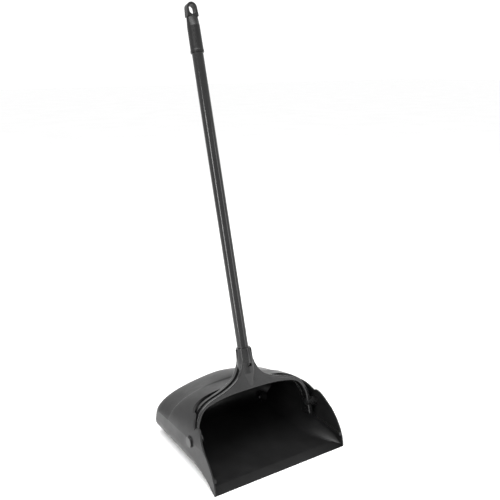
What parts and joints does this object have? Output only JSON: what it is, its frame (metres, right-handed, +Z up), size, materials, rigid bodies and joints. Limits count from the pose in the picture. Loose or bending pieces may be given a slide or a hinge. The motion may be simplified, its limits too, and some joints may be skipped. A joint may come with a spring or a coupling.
{
  "type": "lobby dustpan",
  "caption": "Upright hooded dustpan with a swinging yoke, a long coated handle with a hang-up hand grip, and small rear wheels.",
  "frame": {"origin": "middle of the front lip's lower edge, on the floor", "axes": "+X across the pan towards its right side seen from the front, +Y from the lip to the back, +Z up the handle"},
  "size_m": [0.3312, 0.3525, 0.9418],
  "materials": {
    "pan_plastic": "satin moulded polypropylene, fine spark-eroded texture",
    "yoke_plastic": "satin moulded polypropylene",
    "tube_steel": "drawn tube, bare inside",
    "tube_coating": "smooth glossy plastic coating",
    "button_plastic": "smooth",
    "spring_steel": "bright spring strip",
    "grip_plastic": "satin moulded polypropylene",
    "pin_plastic": "satin",
    "spacer_plastic": "satin",
    "ring_steel": "black oxide",
    "wheel_rubber": "matte",
    "axle_steel": "zinc plated"
  },
  "bodies": {
    "pan": {"pan": "pan_plastic", "axle_left": "axle_steel", "axle_right": "axle_steel", "axle_nut_left": "axle_steel", "axle_nut_right": "axle_steel"},
    "handle": {"yoke": "yoke_plastic", "pivot_pin_left": "pin_plastic", "pivot_pin_right": "pin_plastic", "pivot_spacer_left": "spacer_plastic", "pivot_spacer_right": "spacer_plastic", "pivot_ring_left": "ring_steel", "pivot_ring_right": "ring_steel", "handle_tube": "tube_steel", "tube_coating": "tube_coating", "hand_grip": "grip_plastic"},
    "button": {"lock_button": "button_plastic", "button_spring": "spring_steel"},
    "wheel_left": {"wheel_left": "wheel_rubber"},
    "wheel_right": {"wheel_right": "wheel_rubber"}
  },
  "joints": [
    {"name": "yoke_swing", "type": "hinge", "parent": "pan", "child": "handle", "pos_m": [0, 0.102, 0.069], "axis": [1, 0, 0], "range_deg": [0, 75]},
    {"name": "button_press", "type": "slide", "parent": "handle", "child": "button", "axis": [0, 0.9659, -0.2588], "range_m": [0, 0.003], "stiffness_N_per_m": 900},
    {"name": "wheel_left_spin", "type": "hinge", "parent": "pan", "child": "wheel_left", "pos_m": [-0.126, 0.272, 0.01], "axis": [1, 0, 0], "continuous": true},
    {"name": "wheel_right_spin", "type": "hinge", "parent": "pan", "child": "wheel_right", "pos_m": [0.126, 0.272, 0.01], "axis": [1, 0, 0], "continuous": true}
  ]
}
